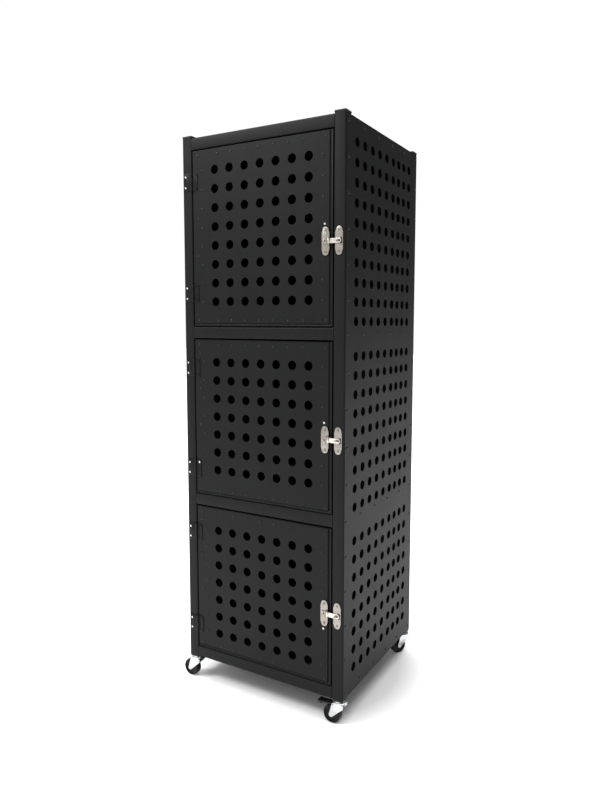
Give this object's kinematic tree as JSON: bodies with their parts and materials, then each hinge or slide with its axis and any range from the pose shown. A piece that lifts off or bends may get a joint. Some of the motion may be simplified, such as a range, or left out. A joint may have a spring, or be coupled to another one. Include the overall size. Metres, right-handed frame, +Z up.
{
  "type": "locker cabinet",
  "caption": "Tall steel locker cabinet: stacked compartments with perforated doors, hinged on the left and latched on the right, on swivel casters.",
  "frame": {"origin": "on the floor, under the middle of the corner-post frame", "axes": "+X towards the latch side, +Y to the back, +Z up"},
  "size_m": [0.559, 0.5058, 1.615],
  "materials": {
    "black_powder_coat": "fine-textured satin powder coat",
    "black_plastic": "moulded, fine grain",
    "bright_zinc": "bright zinc plate",
    "satin_nickel": "satin nickel plate",
    "screw_steel": "bright zinc screws",
    "wheel_rubber": "hard black tread, slightly worn"
  },
  "bodies": {
    "root": {"post_front_left": "black_powder_coat", "post_front_right": "black_powder_coat", "post_rear_left": "black_powder_coat", "post_rear_right": "black_powder_coat", "post_caps": "black_plastic", "width_rails": "black_powder_coat", "depth_rails": "black_powder_coat", "left_wall_panel": "black_powder_coat", "right_wall_panel": "black_powder_coat", "rear_wall_panel": "black_powder_coat", "top_panel": "black_powder_coat", "floor_panel": "black_powder_coat", "shelf_lower": "black_powder_coat", "shelf_upper": "black_powder_coat", "panel_rivets": "black_powder_coat", "hinge_post_leaves": "black_powder_coat", "hinge_pins": "black_powder_coat", "post_screws": "screw_steel", "latch_keepers": "satin_nickel", "caster_sockets": "black_plastic", "caster_stems": "bright_zinc"},
    "bottom_door": {"bottom_door_frame": "black_powder_coat", "bottom_door_sheet": "black_powder_coat", "bottom_door_rivets": "black_powder_coat", "bottom_door_leaves": "black_powder_coat", "bottom_door_screws": "screw_steel", "bottom_latch_plate": "satin_nickel", "bottom_latch_pin": "satin_nickel"},
    "bottom_latch_arm": {"bottom_latch_arm": "satin_nickel"},
    "middle_door": {"middle_door_frame": "black_powder_coat", "middle_door_sheet": "black_powder_coat", "middle_door_rivets": "black_powder_coat", "middle_door_leaves": "black_powder_coat", "middle_door_screws": "screw_steel", "middle_latch_plate": "satin_nickel", "middle_latch_pin": "satin_nickel"},
    "middle_latch_arm": {"middle_latch_arm": "satin_nickel"},
    "top_door": {"top_door_frame": "black_powder_coat", "top_door_sheet": "black_powder_coat", "top_door_rivets": "black_powder_coat", "top_door_leaves": "black_powder_coat", "top_door_screws": "screw_steel", "top_latch_plate": "satin_nickel", "top_latch_pin": "satin_nickel"},
    "top_latch_arm": {"top_latch_arm": "satin_nickel"},
    "front_left_caster": {"front_left_fork": "bright_zinc", "front_left_axle": "bright_zinc"},
    "front_left_wheel": {"front_left_wheel": "wheel_rubber"},
    "front_left_pedal": {"front_left_pedal": "black_plastic"},
    "front_right_caster": {"front_right_fork": "bright_zinc", "front_right_axle": "bright_zinc"},
    "front_right_wheel": {"front_right_wheel": "wheel_rubber"},
    "front_right_pedal": {"front_right_pedal": "black_plastic"},
    "rear_left_caster": {"rear_left_fork": "bright_zinc", "rear_left_axle": "bright_zinc"},
    "rear_left_wheel": {"rear_left_wheel": "wheel_rubber"},
    "rear_right_caster": {"rear_right_fork": "bright_zinc", "rear_right_axle": "bright_zinc"},
    "rear_right_wheel": {"rear_right_wheel": "wheel_rubber"}
  },
  "joints": [
    {"name": "bottom_door_hinge", "type": "hinge", "parent": "root", "child": "bottom_door", "pos_m": [-0.2285, -0.2465, 0.327], "axis": [0, 0, -1], "range_deg": [0, 175]},
    {"name": "bottom_latch_hinge", "type": "hinge", "parent": "bottom_door", "child": "bottom_latch_arm", "pos_m": [0.2185, -0.2497, 0.31], "axis": [0, 0, -1], "range_deg": [0, 175]},
    {"name": "middle_door_hinge", "type": "hinge", "parent": "root", "child": "middle_door", "pos_m": [-0.2285, -0.2465, 0.811], "axis": [0, 0, -1], "range_deg": [0, 175]},
    {"name": "middle_latch_hinge", "type": "hinge", "parent": "middle_door", "child": "middle_latch_arm", "pos_m": [0.2185, -0.2497, 0.782], "axis": [0, 0, -1], "range_deg": [0, 175]},
    {"name": "top_door_hinge", "type": "hinge", "parent": "root", "child": "top_door", "pos_m": [-0.2285, -0.2465, 1.3245], "axis": [0, 0, -1], "range_deg": [0, 175]},
    {"name": "top_latch_hinge", "type": "hinge", "parent": "top_door", "child": "top_latch_arm", "pos_m": [0.2185, -0.2497, 1.2945], "axis": [0, 0, -1], "range_deg": [0, 175]},
    {"name": "front_left_swivel", "type": "hinge", "parent": "root", "child": "front_left_caster", "pos_m": [-0.2465, -0.2275, 0.06], "axis": [0, 0, 1], "continuous": true},
    {"name": "front_left_wheel_spin", "type": "hinge", "parent": "front_left_caster", "child": "front_left_wheel", "pos_m": [-0.2665, -0.2275, 0.0254], "axis": [0, 1, 0], "continuous": true},
    {"name": "front_left_brake", "type": "hinge", "parent": "front_left_caster", "child": "front_left_pedal", "pos_m": [-0.2345, -0.2275, 0.0538], "axis": [0, 1, 0], "range_deg": [0, 20]},
    {"name": "front_right_swivel", "type": "hinge", "parent": "root", "child": "front_right_caster", "pos_m": [0.2465, -0.2275, 0.06], "axis": [0, 0, 1], "continuous": true},
    {"name": "front_right_wheel_spin", "type": "hinge", "parent": "front_right_caster", "child": "front_right_wheel", "pos_m": [0.2265, -0.2275, 0.0254], "axis": [0, 1, 0], "continuous": true},
    {"name": "front_right_brake", "type": "hinge", "parent": "front_right_caster", "child": "front_right_pedal", "pos_m": [0.2325, -0.2275, 0.0558], "axis": [0, -1, 0], "range_deg": [0, 9]},
    {"name": "rear_left_swivel", "type": "hinge", "parent": "root", "child": "rear_left_caster", "pos_m": [-0.2465, 0.2275, 0.06], "axis": [0, 0, 1], "continuous": true},
    {"name": "rear_left_wheel_spin", "type": "hinge", "parent": "rear_left_caster", "child": "rear_left_wheel", "pos_m": [-0.26463, 0.21905, 0.0254], "axis": [-0.4226, 0.9063, 0], "continuous": true},
    {"name": "rear_right_swivel", "type": "hinge", "parent": "root", "child": "rear_right_caster", "pos_m": [0.2465, 0.2275, 0.06], "axis": [0, 0, 1], "continuous": true},
    {"name": "rear_right_wheel_spin", "type": "hinge", "parent": "rear_right_caster", "child": "rear_right_wheel", "pos_m": [0.23503, 0.21112, 0.0254], "axis": [-0.8192, 0.5736, 0], "continuous": true}
  ]
}
